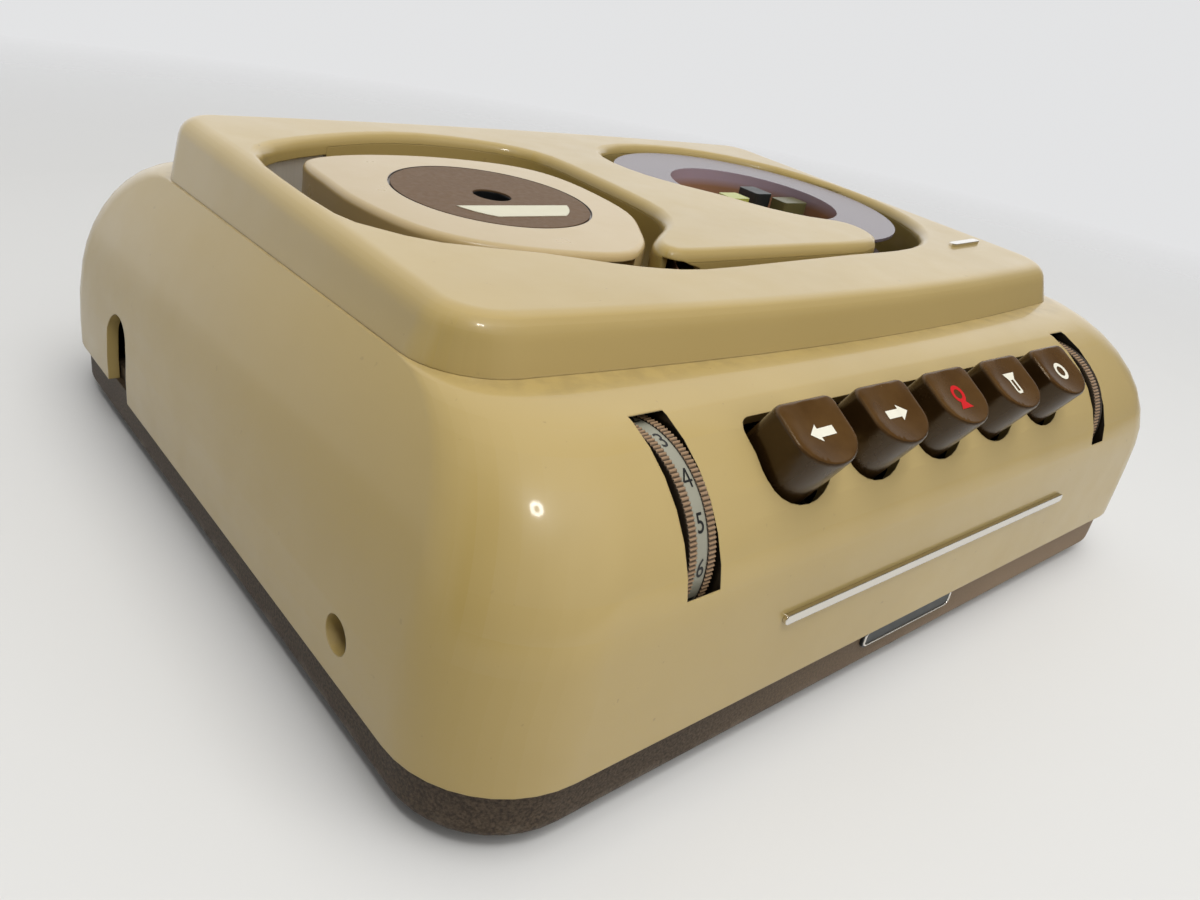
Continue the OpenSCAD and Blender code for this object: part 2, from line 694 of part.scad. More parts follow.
module reel_belts() {
    belt(capstan_at, step_r, [takeup_x, takeup_y], spindle_pulley_r, takeup_mid);
    belt(capstan_at, step_r, [supply_x, supply_y], spindle_pulley_r, rewind_mid);
}

module motor_body() color("DarkSlateGray") at_deck(motor_x, motor_y, motor_top - motor_l) difference() {
    cylinder(r = motor_r, h = motor_l);
    translate([0, 0, motor_l - 16]) cylinder(r = motor_shaft_r + run_fit, h = 20);
}

module motor_posts() color("Silver") for (a = [0, 90, 180]) on_deck()
    translate([motor_x + motor_post_at * cos(a), motor_y + motor_post_at * sin(a), motor_top])
        cylinder(r = motor_post_r, h = deck_bottom - motor_top);

module motor_shaft() color("Silver") {
    at_deck(motor_x, motor_y, motor_top - 15.5)
        cylinder(r = motor_shaft_r, h = flywheel_mid + motor_pulley_l / 2 - motor_top + 15.5);
    at_deck(motor_x, motor_y, flywheel_mid - motor_pulley_l / 2)
        cylinder(r = motor_pulley_r, h = motor_pulley_l);
}

// Head cover: heads, guides, tape and pinch roller, on the deck
part_top = -3.8;
tape_y = capstan_y - capstan_r - gap - tape_t / 2;
tape_clear = 0.15;
head_y = tape_y + tape_t / 2 + tape_clear;
guide_r = 1.5;
guide_xs = [-22.4, 22];
pin_r = 1.5;
pinch_x = capstan_x;
pinch_open = 1.3;
pinch_y = tape_y - tape_t / 2 - gap - pinch_r - pinch_open;
pivot_x = pinch_x - 20;
pivot_y = -41.5;
arm_t = 2;
arm_w = pinch_r + 0.5;
arm_z = tape_lo - 3.3;
boss_r = pinch_r - 1;
boss_h = 4.5;
arm_boss_z = arm_z - 2;

module playback_head() color("Silver") {
    at_deck(-4, head_y + 5, arm_z) cylinder(r = 5, h = part_top - arm_z);
    at_deck(-9, head_y + 5, deck_top) cube([10, 6, part_top - deck_top]);
}

module erase_head() color("Silver") at_deck(-17.5, head_y, deck_top) cube([5, 5, part_top - deck_top]);

module tape_guides() color("Silver") for (x = guide_xs)
    at_deck(x, tape_y - tape_t / 2 - tape_clear - guide_r, deck_top)
        cylinder(r = guide_r, h = part_top - deck_top);

// Flat ribbon along a line of points
function ribbon_dir(pts, i) = unit(pts[min(i + 1, len(pts) - 1)] - pts[max(i - 1, 0)]);
function ribbon_side(pts, d) = [for (i = [0:len(pts) - 1])
    let (t = ribbon_dir(pts, i)) pts[i] + d * [t[1], -t[0]]];
function reversed(pts) = [for (i = [len(pts) - 1:-1:0]) pts[i]];
run_start = [capstan_x + 2, tape_y];
run_to = [takeup_x, takeup_y] - run_start;
run_r = takeup_pack_r + gap + tape_t / 2;
run_a = atan2(run_to[1], run_to[0]) - asin(run_r / norm(run_to));
run_l = sqrt(pow(norm(run_to), 2) - run_r * run_r);
run_pts = [[-46.5, -46.4], [-38.5, -49.3], [-35.4, -49.2], [-33, -47.6],
    [guide_xs[0] - 1.5, tape_y], run_start, run_start + run_l * [cos(run_a), sin(run_a)]];

module tape_run() color("SaddleBrown") at_deck(0, 0, tape_lo) linear_extrude(tape_w)
    polygon(concat(ribbon_side(run_pts, tape_t / 2), reversed(ribbon_side(run_pts, -tape_t / 2))));

module pinch_pivot() color("Silver") at_deck(pivot_x, pivot_y, deck_top) {
    cylinder(r = pin_r + 1, h = arm_boss_z - gap - deck_top);
    cylinder(r = pin_r, h = arm_boss_z + boss_h + 0.5 - deck_top);
}

module pinch_arm() color("Silver") {
    reach = [pinch_x - pivot_x, pinch_y - pivot_y];
    at_deck(pivot_x, pivot_y, 0) difference() {
        union() {
            translate([0, 0, arm_boss_z]) cylinder(r = boss_r, h = boss_h);
            translate([0, 0, arm_z]) rotate([0, 0, atan2(reach[1], reach[0])]) translate([0, -arm_w / 2, 0])
                cube([norm(reach), arm_w, arm_t]);
            translate([reach[0], reach[1], arm_z]) cylinder(r = boss_r, h = arm_t);
            translate([reach[0], reach[1], arm_z]) cylinder(r = pin_r, h = part_top - arm_z - gap);
        }
        translate([0, 0, arm_boss_z - 1]) cylinder(r = pin_r + run_fit, h = boss_h + 2);
    }
}

module pinch_roller() color("Black") at_deck(pinch_x, pinch_y, arm_z + arm_t + gap)
    tube(pinch_r, pin_r + run_fit, part_top - arm_z - arm_t - 2 * gap);

// Keys
key_steps = 3;
key_dish = 0.6;
function key_ring(d, z) = level(key_pts(d), z);

module key(i) color("SaddleBrown") on_key(i) {
    difference() {
        loft(concat([key_ring(0, -key_depth)], [for (k = [0:key_steps]) let (a = 84 * k / key_steps)
            key_ring(key_edge * (1 - cos(a)), -key_edge * (1 - sin(a)))]));
        translate([0, 0, key_dish_r - key_dish]) sphere(r = key_dish_r);
    }
    translate([-stem_w / 2, -stem_w / 2, -stem_l]) cube([stem_w, stem_w, stem_l - key_depth + 1]);
}

module rewind_key() key(0);

module forward_key() key(1);

module record_key() key(2);

module speaker_key() key(3);

module stop_key() key(4);

frame_end = 12;
frame_w = 18;
frame_leg = 4;
frame_mid_y = key_face_y - sin(key_slope) * (frame_z - frame_t / 2);
frame_mid_z = key_face_z + cos(key_slope) * (frame_z - frame_t / 2);

module key_frame() color("Silver") {
    on_key(2) translate([0, 0, frame_z - frame_t]) linear_extrude(frame_t) difference() {
        square([4 * key_pitch + 2 * frame_end, frame_w], center = true);
        for (i = [-2:2]) translate([i * key_pitch, 0]) square(stem_w + 2 * gap, center = true);
    }
    for (x = [key_x0 - frame_end, key_x0 + 4 * key_pitch + frame_end - frame_leg])
        translate([x, frame_mid_y - 3, floor_z]) cube([frame_leg, 6, frame_mid_z - 0.5 - floor_z]);
}

// Coil springs round the stems, drawn at their pressed length
wire_r = 0.45;
coil_r = (stem_w + 2 * gap) / sqrt(2) + wire_r + 0.1;
coil_turns = 4;
coil_n = 10;
wire_n = 5;
coil_rise = (spring_l - 2 * wire_r - 0.1) / coil_turns;

module coil() loft([for (i = [0:coil_turns * coil_n]) let (a = 360 * i / coil_n)
    [for (k = [0:wire_n - 1]) let (b = -360 * k / wire_n, r = coil_r + wire_r * cos(b))
        [r * cos(a), r * sin(a), wire_r + 0.05 + coil_rise * i / coil_n + wire_r * sin(b)]]]);

module key_springs() color("Silver") for (i = [0:4]) on_key(i) translate([0, 0, frame_z]) coil();

// Thumbwheels and their potentiometers
function knurl_pts(r) = [for (i = [0:2 * knurl_teeth - 1]) let (a = 180 * i / knurl_teeth)
    (r - (i % 2) * knurl_h) * [cos(a), sin(a)]];
rim_w = (volume_w - band_w) / 2;
core_r = wheel_r - band_drop - band_t;

module at_wheel(x) {
    translate([x, wheel_y, wheel_z]) rotate([0, 90, 0]) children();
}

module volume_wheel() color("Sienna") at_wheel(volume_x) {
    for (z = [-volume_w / 2, volume_w / 2 - rim_w]) translate([0, 0, z])
        linear_extrude(rim_w) polygon(knurl_pts(wheel_r));
    translate([0, 0, -volume_w / 2]) cylinder(r = core_r, h = volume_w);
    translate([0, 0, -volume_w / 2 - pot_gap - pot_l + 2]) cylinder(r = pot_shaft_r, h = pot_gap + pot_l);
}

module number_band() color("White") at_wheel(volume_x) translate([0, 0, -band_w / 2])
    tube(wheel_r - band_drop, core_r + run_fit, band_w);

module tone_wheel() color("Sienna") at_wheel(tone_x) {
    translate([0, 0, -tone_w / 2]) linear_extrude(tone_knurl_w) polygon(knurl_pts(wheel_r));
    translate([0, 0, tone_knurl_w - tone_w / 2]) cylinder(r = tone_rim_r, h = tone_w - tone_knurl_w);
    cylinder(r = pot_shaft_r, h = tone_w / 2 + pot_gap + pot_l - 2);
}

module pot(x, w, side) color("Gray") difference() {
    union() {
        at_wheel(x) translate([0, 0, side > 0 ? w / 2 + pot_gap : -w / 2 - pot_gap - pot_l])
            cylinder(r = pot_r, h = pot_l);
        translate([x + side * (w / 2 + pot_gap + pot_l / 2) - pot_leg / 2, wheel_y - pot_leg / 2, floor_z])
            cube([pot_leg, pot_leg, wheel_z - pot_r + 2 - floor_z]);
    }
    at_wheel(x) translate([0, 0, side > 0 ? w / 2 : -w / 2 - pot_gap - pot_l + 1.5])
        cylinder(r = pot_shaft_r + run_fit, h = pot_gap + pot_l - 1.5);
}

module volume_pot() pot(volume_x, volume_w, -1);

module tone_pot() pot(tone_x, tone_w, 1);

// Transformer, amplifier and connector panel on the base floor
core_x = -half_w + 36;
core_y = 76;
core_w = 46;
core_t = 16;
core_h = 40;
leg_w = 8;
mid_w = 14;
coil_fit = 0.3;
coil_out = 9;

module transformer_core() color("DimGray") translate([core_x, core_y, floor_z]) difference() {
    cube([core_w, core_t, core_h]);
    for (x = [leg_w, core_w / 2 + mid_w / 2]) translate([x, -1, leg_w])
        cube([core_w / 2 - leg_w - mid_w / 2, core_t + 2, core_h - 2 * leg_w]);
}

module transformer_coil() color("Peru") translate([core_x, core_y, floor_z]) difference() {
    translate([leg_w + coil_fit, -coil_out, leg_w + coil_fit])
        cube([core_w - 2 * leg_w - 2 * coil_fit, core_t + 2 * coil_out, core_h - 2 * leg_w - 2 * coil_fit]);
    translate([core_w / 2 - mid_w / 2 - coil_fit, -coil_fit, 0])
        cube([mid_w + 2 * coil_fit, core_t + 2 * coil_fit, core_h]);
}

board_x = half_w - 92;
board_y = 30;
board_w = 56;
board_l = 70;
board_t = 1.6;
board_up = 10;
board_top = floor_z + board_up + board_t;
valve_r = 8;
valve_h = 26;
valve_pitch = 2 * valve_r + 2;

module amplifier_board() color("Peru") {
    translate([board_x, board_y, floor_z + board_up]) cube([board_w, board_l, board_t]);
    for (x = [4, board_w - 4], y = [4, board_l - 4]) translate([board_x + x, board_y + y, floor_z])
        cylinder(r = 2.5, h = board_up + board_t / 2);
}

module valves() color("LightGray") for (i = [-1:1])
    translate([board_x + board_w / 2 + i * valve_pitch, board_y + board_l - 20, board_top]) {
        cylinder(r = valve_r, h = valve_h);
        translate([0, 0, valve_h]) sphere(r = valve_r);
    }

panel_t = 3;
panel_x = -half_w + 9;
panel_h = 38;

panel_w = notch_w + 2.5;
socket_r = 3;
socket_at = 5;

module connector_panel() color("SaddleBrown") difference() {
    translate([panel_x, notch_y - panel_w / 2, floor_z]) cube([panel_t, panel_w, panel_h]);
    for (y = [-socket_at, socket_at]) translate([panel_x - 1, notch_y + y, shell_z + notch_h - 10])
        rotate([0, 90, 0]) cylinder(r = socket_r, h = 2.5);
}

base_tray();
rubber_feet();
case_screws();
upper_shell();
top_cover();
well_walls();
front_trim();
deck_trim();
plate_blank();
deck_plate();
deck_edge();
deck_posts();
deck_screws();
deck_bearings();
cassette_body();
cassette_lid();
cassette_label();
label_strip();
supply_hub();
supply_tape();
supply_spindle();
takeup_spool();
takeup_floor();
takeup_tape();
hub_block_green();
hub_block_dark();
hub_block_olive();
takeup_spindle();
capstan_shaft();
flywheel();
drive_belt();
reel_belts();
motor_body();
motor_posts();
motor_shaft();
pinch_roller();
pinch_arm();
pinch_pivot();
playback_head();
erase_head();
tape_guides();
tape_run();
rewind_key();
forward_key();
record_key();
speaker_key();
stop_key();
key_frame();
key_springs();
volume_wheel();
number_band();
volume_pot();
tone_wheel();
tone_pot();
transformer_core();
transformer_coil();
amplifier_board();
valves();
connector_panel();
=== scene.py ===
import json
import math

import bpy
from mathutils import Matrix, Vector


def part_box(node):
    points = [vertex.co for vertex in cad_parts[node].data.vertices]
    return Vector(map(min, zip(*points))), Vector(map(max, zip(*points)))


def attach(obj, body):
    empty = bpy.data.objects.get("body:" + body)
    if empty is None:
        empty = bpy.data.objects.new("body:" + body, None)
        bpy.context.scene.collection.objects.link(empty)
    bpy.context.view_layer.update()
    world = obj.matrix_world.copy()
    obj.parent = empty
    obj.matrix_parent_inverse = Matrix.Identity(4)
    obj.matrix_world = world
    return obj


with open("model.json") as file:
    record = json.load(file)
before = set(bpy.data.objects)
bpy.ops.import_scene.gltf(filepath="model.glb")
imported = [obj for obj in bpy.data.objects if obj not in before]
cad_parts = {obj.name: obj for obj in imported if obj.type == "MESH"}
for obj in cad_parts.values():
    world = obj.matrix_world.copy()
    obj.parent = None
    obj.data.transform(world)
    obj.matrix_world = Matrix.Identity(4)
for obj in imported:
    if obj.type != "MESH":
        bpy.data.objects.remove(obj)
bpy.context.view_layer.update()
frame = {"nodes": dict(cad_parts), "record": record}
nodes = frame["nodes"]
scene = bpy.context.scene
MM = 0.001

# Places and sizes on the part, in millimetres; the two reel axes are taken at the top of the tilted deck
CREASE_Z = 74.1
KEY_Y, KEY_Z = -112.099, 72.026
KEY_XS = {"rewind_key": -55, "forward_key": -30, "record_key": -5, "speaker_key": 20, "stop_key": 45}
DISH_R, DISH = 45, 0.6
WHEEL_X, WHEEL_Y, WHEEL_Z = -84.8, -94.863, 49.913
BAND_R = 20.1
KNURL_LOW, KNURL_HIGH = 20.15, 20.42
HUB_AT = (-56.3, 0.1)
HUB_HOLE_R = 5.1
LABEL_R = 25.6
SPOOL_AT = (54, 7.3)
PACK_R = 36
KEY_SLOPE = math.radians(31)

# Colours of the tan moulding, as linear red, green and blue
TAN_DARK = (0.385, 0.278, 0.098)
TAN_LIGHT = (0.43, 0.315, 0.118)
CREASE_DARKENING = (0.17, 0.125, 0.06)
SPECK = (0.17, 0.12, 0.06)
SCUFF = (0.6, 0.5, 0.32)
PAINTED_LEFT_SHADE = (0.36, 0.25, 0.055)
PAINTED_ROLL_SHEEN = (0.415, 0.315, 0.145)
PAINTED_WALL_SHADE = (0.33, 0.235, 0.075)
DARK_CUT = (0.012, 0.009, 0.005)


# Materials

class Nodes:
    """A small helper around one material's node tree."""

    def __init__(self, name):
        self.material = bpy.data.materials.new(name)
        self.material.use_nodes = True
        self.tree = self.material.node_tree
        self.shader = self.tree.nodes["Principled BSDF"]
        self.place = None

    def add(self, kind, **values):
        node = self.tree.nodes.new(kind)
        for key, value in values.items():
            setattr(node, key, value)
        return node

    def link(self, a, b):
        self.tree.links.new(a, b)

    def set(self, name, value):
        if isinstance(value, tuple):
            self.shader.inputs[name].default_value = value + (1.0,)
        elif isinstance(value, (int, float)):
            self.shader.inputs[name].default_value = value
        else:
            self.link(value, self.shader.inputs[name])

    def coordinates(self):
        if self.place is None:
            self.place = self.add("ShaderNodeTexCoord").outputs["Object"]
        return self.place

    def stretched(self, scale, rotation=(0.0, 0.0, 0.0)):
        """The coordinates scaled along each axis, for a grain with a direction."""
        node = self.add("ShaderNodeMapping")
        node.inputs["Scale"].default_value = scale
        node.inputs["Rotation"].default_value = rotation
        self.link(self.coordinates(), node.inputs["Vector"])
        return node.outputs["Vector"]

    def split(self, vector):
        node = self.add("ShaderNodeSeparateXYZ")
        self.link(vector, node.inputs["Vector"])
        return node.outputs["X"], node.outputs["Y"], node.outputs["Z"]

    def axes(self):
        """The place on the object, as x, y and z in metres."""
        return self.split(self.coordinates())

    def facing(self):
        """The way the face looks, as x, y and z from -1 to 1."""
        return self.split(self.add("ShaderNodeNewGeometry").outputs["True Normal"])

    def noise(self, scale, detail=3.0, rough=0.55, vector=None):
        node = self.add("ShaderNodeTexNoise")
        node.inputs["Scale"].default_value = scale
        node.inputs["Detail"].default_value = detail
        node.inputs["Roughness"].default_value = rough
        self.link(vector or self.coordinates(), node.inputs["Vector"])
        return node.outputs["Fac"]

    def maths(self, operation, a, b=None):
        node = self.add("ShaderNodeMath", operation=operation)
        for socket, value in zip(node.inputs, (a, b)):
            if isinstance(value, (int, float)):
                socket.default_value = value
            elif value is not None:
                self.link(value, socket)
        return node.outputs["Value"]

    def times(self, a, b):
        return self.maths("MULTIPLY", a, b)

    def absolute(self, value):
        return self.maths("ABSOLUTE", value)

    def away(self, a, b, centre):
        """The distance from an axis at a centre in millimetres, across two of the coordinates."""
        da = self.maths("SUBTRACT", a, centre[0] * MM)
        db = self.maths("SUBTRACT", b, centre[1] * MM)
        return self.maths("SQRT", self.maths("ADD", self.times(da, da), self.times(db, db)))

    def rise(self, value, low, high, a=0.0, b=1.0):
        """A value that goes evenly from a to b while the input goes from low to high."""
        node = self.add("ShaderNodeMapRange")
        node.inputs["From Min"].default_value = low
        node.inputs["From Max"].default_value = high
        node.inputs["To Min"].default_value = a
        node.inputs["To Max"].default_value = b
        self.link(value, node.inputs["Value"])
        return node.outputs["Result"]

    def fade(self, value, low, high, start=1.0):
        return self.rise(value, low, high, start, 0.0)

    def mix(self, share, a, b):
        node = self.add("ShaderNodeMix", data_type="RGBA")
        self.link(share, node.inputs["Factor"])
        colours = [s for s in node.inputs if s.type == "RGBA"]
        for socket, value in zip(colours, (a, b)):
            if isinstance(value, tuple):
                socket.default_value = value + (1.0,)
            else:
                self.link(value, socket)
        return [s for s in node.outputs if s.type == "RGBA"][0]

    def tint(self, colour, other, mask, share):
        """The colour mixed with a share of the other where the mask is 1."""
        return self.mix(self.times(mask, share), colour, other)

    def bump(self, height, strength, depth=0.2):
        """Uneven surface of a depth in millimetres, on edges that look slightly rounded."""
        bevel = self.add("ShaderNodeBevel", samples=4)
        bevel.inputs["Radius"].default_value = 0.4 * MM
        node = self.add("ShaderNodeBump")
        node.inputs["Strength"].default_value = strength
        node.inputs["Distance"].default_value = depth * MM
        self.link(height, node.inputs["Height"])
        self.link(bevel.outputs["Normal"], node.inputs["Normal"])
        self.link(node.outputs["Normal"], self.shader.inputs["Normal"])


def plain(name, colour, rough, metal=0.0, vary=0.06, scale=90.0, bump=0.04, shine=0.5):
    """A plain finish with a slight unevenness of tone and surface."""
    n = Nodes(name)
    dark = tuple(c * (1 - vary) for c in colour)
    light = tuple(min(1.0, c * (1 + vary)) for c in colour)
    n.set("Base Color", n.mix(n.noise(scale), dark, light))
    n.set("Metallic", metal)
    n.set("Specular IOR Level", shine)
    n.set("Roughness", n.rise(n.noise(scale * 2.3), 0.3, 0.7, rough * 0.9, min(1.0, rough * 1.1)))
    n.bump(n.noise(scale * 12, 2.0), bump)
    return n.material


def brushed(name, colour, rough, grain_scale=(30, 1600, 1600), metal=1.0):
    """Metal with a brushed grain along the axis of the small scale."""
    n = Nodes(name)
    grain = n.noise(1.0, 3.0, vector=n.stretched(grain_scale))
    n.set("Base Color", n.mix(grain, tuple(c * 0.82 for c in colour), colour))
    n.set("Metallic", metal)
    n.set("Roughness", n.rise(grain, 0.3, 0.7, rough * 0.8, rough * 1.2))
    n.bump(grain, 0.12, 0.1)
    return n.material


def tan_plastic():
    """Glossy tan moulding with faint mottling, a thin darker line in the crease and small specks of wear, and
    painted shade and a painted sheen on some faces.
    """
    n = Nodes("tan_plastic")
    x, y, z = n.axes()
    nx, ny, nz = n.facing()
    colour = n.mix(n.rise(n.noise(14, 4.0), 0.3, 0.7), TAN_DARK, TAN_LIGHT)
    # A thin darker line in the crease round the plateau, broken into patches
    from_crease = n.absolute(n.maths("SUBTRACT", z, CREASE_Z * MM))
    patches = n.rise(n.noise(240, 4.0), 0.4, 0.62)
    crease = n.times(n.fade(from_crease, 0.0, 0.4 * MM), patches)
    colour = n.tint(colour, CREASE_DARKENING, crease, 0.3)
    # Small dark specks and a few fine scuffs
    specks = n.rise(n.noise(420, 2.0), 0.735, 0.78)
    colour = n.tint(colour, SPECK, specks, 0.4)
    slanted = n.stretched((14, 240, 120), (0.3, 0.2, 0.6))
    scuffs = n.rise(n.noise(2.2, 3.0, vector=slanted), 0.735, 0.77)
    colour = n.tint(colour, SCUFF, scuffs, 0.2)
    # Painted shade: faces that look to the left are darker and yellower
    colour = n.mix(n.fade(nx, -0.9, -0.3, 0.55), colour, PAINTED_LEFT_SHADE)
    # Painted sheen: the front roll is paler
    roll = n.times(n.fade(ny, -0.6, -0.3), n.rise(nz, 0.15, 0.45))
    colour = n.tint(colour, PAINTED_ROLL_SHEEN, roll, 0.5)
    # Painted shade: the front wall of the plateau, above the crease, is darker
    above_crease = n.rise(z, CREASE_Z * MM, (CREASE_Z + 0.4) * MM)
    front_wall_shade = n.times(n.fade(ny, -0.8, -0.4), above_crease)
    colour = n.tint(colour, PAINTED_WALL_SHADE, front_wall_shade, 0.5)
    # The cut walls of the openings in the front roll lie in the dark
    sideways = n.rise(n.absolute(nx), 0.7, 0.85)
    in_front = n.fade(y, -90 * MM, -85 * MM)
    not_the_sides = n.fade(n.absolute(x), 110 * MM, 115 * MM)
    cut = n.times(n.times(sideways, in_front), not_the_sides)
    colour = n.mix(cut, colour, DARK_CUT)
    n.set("Base Color", colour)
    n.set("Roughness", n.rise(n.noise(60, 4.0), 0.3, 0.75, 0.3, 0.4))
    n.set("Specular IOR Level", 0.35)
    n.set("Coat Weight", 0.45)
    n.set("Coat Roughness", n.rise(n.noise(90, 4.0), 0.3, 0.75, 0.06, 0.1))
    n.bump(n.noise(34, 2.0), 0.05, 0.6)
    return n.material


def base_finish():
    """Brown-grey base with a fine mottled grain, a worn lower edge and painted light on the right part."""
    n = Nodes("brown_base")
    x, _, z = n.axes()
    grain = n.noise(1500, 3.0, 0.7)
    colour = n.mix(n.rise(grain, 0.38, 0.64), (0.028, 0.018, 0.01), (0.09, 0.062, 0.038))
    low_edge = n.fade(z, 4.5 * MM, 7.5 * MM)
    worn = n.times(low_edge, n.rise(n.noise(160, 4.0), 0.46, 0.64))
    colour = n.tint(colour, (0.3, 0.25, 0.19), worn, 0.4)
    # Painted light: the base grows lighter towards the right
    painted_right_light = n.rise(x, -80 * MM, 50 * MM, 0.0, 0.7)
    colour = n.mix(painted_right_light, colour, (0.27, 0.185, 0.11))
    n.set("Base Color", colour)
    n.set("Roughness", 0.6)
    n.set("Specular IOR Level", 0.25)
    n.bump(grain, 0.25, 0.3)
    return n.material


def key_finish():
    """Glossy dark brown, with painted shade on the walls, and a slight wear of the gloss."""
    n = Nodes("key_brown")
    _, _, nz = n.facing()
    colour = n.mix(n.rise(n.noise(120, 4.0), 0.35, 0.7), (0.062, 0.028, 0.006), (0.088, 0.043, 0.011))
    # Painted shade: faces that look less upward are darker
    colour = n.mix(n.fade(nz, 0.2, 0.75, 0.75), colour, (0.016, 0.008, 0.003))
    n.set("Base Color", colour)
    n.set("Specular Tint", (1.0, 0.82, 0.58))
    n.set("Roughness", n.rise(n.noise(200, 4.0), 0.35, 0.75, 0.2, 0.3))
    n.set("Specular IOR Level", 0.5)
    n.bump(n.noise(500, 2.0), 0.04)
    return n.material


def clear_finish():
    """Translucent lilac-grey plastic."""
    n = Nodes("clear_lilac")
    x, y, z = n.axes()
    _, _, nz = n.facing()
    colour = n.mix(n.noise(40), (0.185, 0.15, 0.17), (0.215, 0.175, 0.197))
    # The wall of the cup is seen from inside, paler at its top and with the brown tape behind it
    inside_pack = n.fade(n.away(x, y, SPOOL_AT), PACK_R * MM, (PACK_R + 0.5) * MM)
    cup = n.times(n.fade(n.absolute(nz), 0.5, 0.6), inside_pack)
    wall_colour = n.mix(n.rise(z, 81.5 * MM, 84.3 * MM), (0.4, 0.23, 0.13), (0.5, 0.4, 0.46))
    colour = n.mix(cup, colour, wall_colour)
    n.set("Base Color", colour)
    n.set("Roughness", 0.25)
    n.set("Transmission Weight", 0.4)
    n.set("IOR", 1.45)
    n.bump(n.noise(120, 2.0), 0.03)
    return n.material


def cream_finish():
    """Cream plastic of the cassette, with painted shade in the hub hole and in the groove round the label."""
    n = Nodes("cream_plastic")
    x, y, z = n.axes()
    _, _, nz = n.facing()
    colour = n.mix(n.noise(40), (0.435, 0.33, 0.172), (0.47, 0.36, 0.195))
    # Painted shade: yellower and darker on the rounded edge and the sides, and duller to the left
    colour = n.mix(n.fade(nz, 0.3, 0.95, 0.55), colour, (0.42, 0.285, 0.1))
    colour = n.mix(n.fade(x, -96 * MM, -45 * MM, 0.4), colour, (0.35, 0.255, 0.115))
    away = n.away(x, y, HUB_AT)
    # Painted shade in the hub hole, near black
    hole = n.fade(away, HUB_HOLE_R * MM, (HUB_HOLE_R + 0.2) * MM)
    colour = n.mix(hole, colour, (0.008, 0.008, 0.008))
    # Painted shade in the groove round the label, near the top
    from_groove = n.absolute(n.maths("SUBTRACT", away, (LABEL_R + 0.25) * MM))
    near_top = n.rise(z, 80 * MM, 81 * MM)
    groove = n.times(n.fade(from_groove, 0.3 * MM, 0.4 * MM), near_top)
    colour = n.mix(groove, colour, (0.07, 0.045, 0.025))
    n.set("Base Color", colour)
    n.set("Roughness", n.rise(n.noise(92), 0.3, 0.7, 0.27, 0.33))
    n.set("Coat Weight", 0.15)
    n.bump(n.noise(480, 2.0), 0.04)
    return n.material


def wheel_finish():
    """Knurled brown plastic, with painted shade between the knurls, whose side cheeks lie in the dark of the
    slot.
    """
    n = Nodes("wheel_brown")
    _, y, z = n.axes()
    nx, _, _ = n.facing()
    away = n.away(y, z, (WHEEL_Y, WHEEL_Z))
    colour = n.mix(n.noise(300), (0.29, 0.185, 0.104), (0.35, 0.225, 0.126))
    # Painted shade in the valleys between the knurls
    colour = n.mix(n.rise(away, KNURL_LOW * MM, KNURL_HIGH * MM), (0.03, 0.02, 0.011), colour)
    # Painted shade on the side cheeks, which lie in the dark of the slot
    colour = n.mix(n.rise(n.absolute(nx), 0.8, 0.95), colour, (0.03, 0.02, 0.012))
    n.set("Base Color", colour)
    n.set("Roughness", 0.42)
    n.bump(n.noise(3600, 2.0), 0.04)
    return n.material


FINISH = {
    "tan_plastic": tan_plastic(),
    "brown_base": base_finish(),
    "key_brown": key_finish(),
    "cream_plastic": cream_finish(),
    "label_taupe": plain("label_taupe", (0.119, 0.07, 0.035), 0.6, vary=0.1, scale=300, bump=0.08, shine=0.3),
    "paper_white": plain("paper_white", (0.6, 0.57, 0.435), 0.6, vary=0.05, scale=200, bump=0.05),
    "bright_trim": plain("bright_trim", (0.78, 0.75, 0.69), 0.12, metal=1.0, vary=0.04),
    "steel": brushed("steel", (0.55, 0.54, 0.52), 0.35),
    "aluminium_plate": brushed("aluminium_plate", (0.46, 0.43, 0.38), 0.38),
    "brass_bearing": plain("brass_bearing", (0.62, 0.47, 0.22), 0.3, metal=1.0),
    "rubber_black": plain("rubber_black", (0.02, 0.02, 0.02), 0.8),
    "clear_lilac": clear_finish(),
    "tape_brown": plain("tape_brown", (0.2, 0.105, 0.062), 0.7, vary=0.1, scale=150, shine=0.2),
    "green_plastic": plain("green_plastic", (0.38, 0.4, 0.09), 0.3),
    "olive_plastic": plain("olive_plastic", (0.1, 0.095, 0.035), 0.3),
    "dark_plastic": plain("dark_plastic", (0.014, 0.018, 0.018), 0.4),
    "iron_core": plain("iron_core", (0.12, 0.115, 0.11), 0.6, metal=0.6),
    "board_brown": plain("board_brown", (0.36, 0.22, 0.1), 0.55),
    "valve_glass": plain("valve_glass", (0.7, 0.72, 0.74), 0.1, vary=0.02),
}
WHEEL_BROWN = wheel_finish()
BAND_GREY = plain("band_grey", (0.27, 0.26, 0.2), 0.5, vary=0.06, scale=300)
SPOOL_FLOOR = plain("spool_floor", (0.33, 0.15, 0.075), 0.6, vary=0.1, scale=150, shine=0.25)
UPRIGHT_GRAIN = brushed("aluminium_edge", (0.84, 0.8, 0.72), 0.5, (1600, 1600, 40), 0.55)
WHITE_INK = plain("white_ink", (0.72, 0.69, 0.57), 0.4, vary=0.04, scale=400)
RED_INK = plain("red_ink", (0.5, 0.008, 0.01), 0.45, vary=0.05, scale=400, shine=0.2)
BLACK_INK = plain("black_ink", (0.012, 0.012, 0.012), 0.5, vary=0.05, scale=400)

# Nodes that look different from the rest of their slot
OWN_FINISH = {
    "deck_edge": UPRIGHT_GRAIN,
    "volume_wheel": WHEEL_BROWN,
    "tone_wheel": WHEEL_BROWN,
    "number_band": BAND_GREY,
    "takeup_floor": SPOOL_FLOOR,
}

